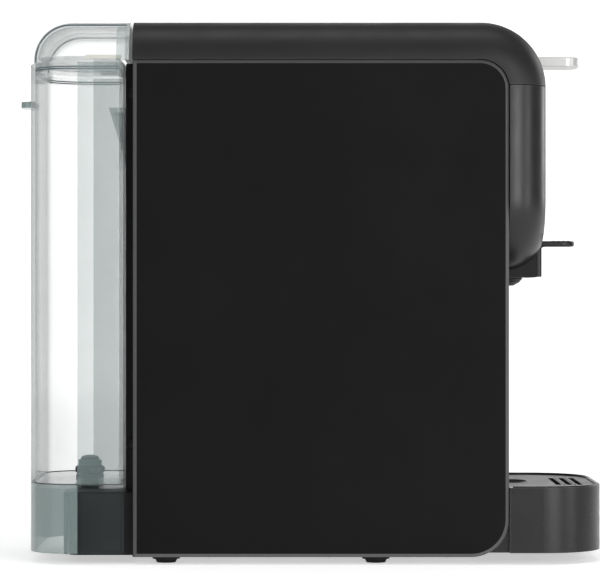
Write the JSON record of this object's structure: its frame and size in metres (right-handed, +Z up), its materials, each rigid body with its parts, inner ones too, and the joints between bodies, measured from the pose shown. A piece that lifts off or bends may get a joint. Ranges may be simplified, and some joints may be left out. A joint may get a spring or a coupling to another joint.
{
  "type": "pod coffee machine",
  "caption": "Slim upright pod coffee machine with a clear rear water tank, a flush top lever, a sliding pod drawer and a drip tray.",
  "frame": {"origin": "on the floor under the middle of the machine's bounding box", "axes": "+X to the front, +Z up, +Y to the machine's left"},
  "size_m": [0.2974, 0.112, 0.273],
  "materials": {
    "case_black": "fine matt texture",
    "top_black": "satin",
    "head_black": "soft gloss",
    "fascia_black": "fine matt texture",
    "housing_black": "satin",
    "drawer_black": "satin",
    "tray_black": "soft gloss",
    "grille_black": "satin",
    "lever_black": "satin",
    "lever_metal": "satin",
    "clear_tank": "clear with a light smoke tint",
    "clear_lid": "clear with a light smoke tint",
    "valve_dark": "satin",
    "valve_grey": "satin",
    "rubber_black": "matt",
    "foot_black": "matt",
    "steel": "brushed",
    "frame_grey": "matt",
    "chamber_grey": "satin",
    "pump_metal": "plated",
    "block_metal": "cast",
    "meter_white": "natural",
    "board_green": "solder mask",
    "relay_blue": "satin",
    "button_black": "soft gloss",
    "hose_white": "milky silicone",
    "float_red": "satin"
  },
  "bodies": {
    "root": {"side_panel_left": "case_black", "side_panel_right": "case_black", "base_pan": "case_black", "top_shell": "top_black", "head_cover": "head_black", "front_fascia": "fascia_black", "rear_wall": "fascia_black", "brew_housing": "housing_black", "outlet_nozzle": "housing_black", "tank_seat": "housing_black", "tank_rails": "housing_black", "foot_pads": "rubber_black", "pump_mounts": "rubber_black", "inlet_seal": "rubber_black", "cord_gland": "rubber_black", "foot_flanges": "foot_black", "case_screws": "foot_black", "lever_pin": "steel", "hinge_bracket": "steel", "inner_frame": "frame_grey", "pump_saddles": "frame_grey", "brew_chamber": "chamber_grey", "chamber_cap": "chamber_grey", "pump": "pump_metal", "heating_block": "block_metal", "flow_meter": "meter_white", "button_board": "board_green", "control_board": "board_green", "board_relays": "relay_blue", "button_switches": "relay_blue", "inlet_hose": "hose_white", "pump_hose": "hose_white", "pressure_hose": "hose_white", "brew_hose": "hose_white"},
    "lever": {"lever_arm": "lever_black", "lever_inlay": "lever_metal", "lever_tip": "lever_metal"},
    "piston": {"brew_piston": "chamber_grey", "piston_seal": "rubber_black", "lift_link": "steel"},
    "drawer": {"pod_drawer": "drawer_black", "drawer_face": "drawer_black", "drawer_tab": "drawer_black"},
    "tray": {"drip_tray": "tray_black"},
    "grille": {"cup_grille": "grille_black"},
    "float": {"level_float": "float_red"},
    "tank": {"tank_body": "clear_tank", "tank_skirt": "clear_tank", "grip_pocket": "clear_tank", "tank_lug": "clear_tank", "valve_body": "valve_dark", "valve_ring": "valve_grey", "valve_cap": "valve_dark", "valve_spring": "steel"},
    "poppet": {"valve_poppet": "valve_dark"},
    "lid": {"tank_lid": "clear_lid"},
    "left_button": {"left_cup_button": "button_black"},
    "right_button": {"right_cup_button": "button_black"},
    "power": {"power_button": "button_black"}
  },
  "joints": [
    {"name": "lever_hinge", "type": "hinge", "parent": "root", "child": "lever", "pos_m": [0.005, 0, 0.259], "axis": [0, -1, 0], "range_deg": [0, 75]},
    {"name": "piston_lift", "type": "slide", "parent": "root", "child": "piston", "axis": [0, 0, 1], "range_m": [0, 0.01]},
    {"name": "drawer_slide", "type": "slide", "parent": "root", "child": "drawer", "axis": [1, 0, 0], "range_m": [0, 0.038]},
    {"name": "tray_slide", "type": "slide", "parent": "root", "child": "tray", "axis": [1, 0, 0], "range_m": [0, 0.06]},
    {"name": "grille_lift", "type": "slide", "parent": "tray", "child": "grille", "axis": [0, 0, 1], "range_m": [0, 0.015]},
    {"name": "float_rise", "type": "slide", "parent": "tray", "child": "float", "axis": [0, 0, 1], "range_m": [0, 0.008]},
    {"name": "tank_lift", "type": "slide", "parent": "root", "child": "tank", "axis": [0, 0, 1], "range_m": [0, 0.05]},
    {"name": "lid_lift", "type": "slide", "parent": "tank", "child": "lid", "axis": [0, 0, 1], "range_m": [0, 0.03]},
    {"name": "poppet_lift", "type": "slide", "parent": "tank", "child": "poppet", "axis": [0, 0, 1], "range_m": [0, 0.002], "stiffness_N_per_m": 150, "springref_m": -0.001, "deforming": ["valve_spring"]},
    {"name": "left_button_press", "type": "slide", "parent": "root", "child": "left_button", "axis": [0, 0, -1], "range_m": [0, 0.0015], "stiffness_N_per_m": 400, "springref_m": -0.001},
    {"name": "right_button_press", "type": "slide", "parent": "root", "child": "right_button", "axis": [0, 0, -1], "range_m": [0, 0.0015], "stiffness_N_per_m": 400, "springref_m": -0.001},
    {"name": "power_press", "type": "slide", "parent": "root", "child": "power", "axis": [0, 0, -1], "range_m": [0, 0.0015], "stiffness_N_per_m": 400, "springref_m": -0.001}
  ],
  "couplings": [
    {"joint": "piston_lift", "follows": "lever_hinge", "m_per_rad": 0.0076}
  ]
}
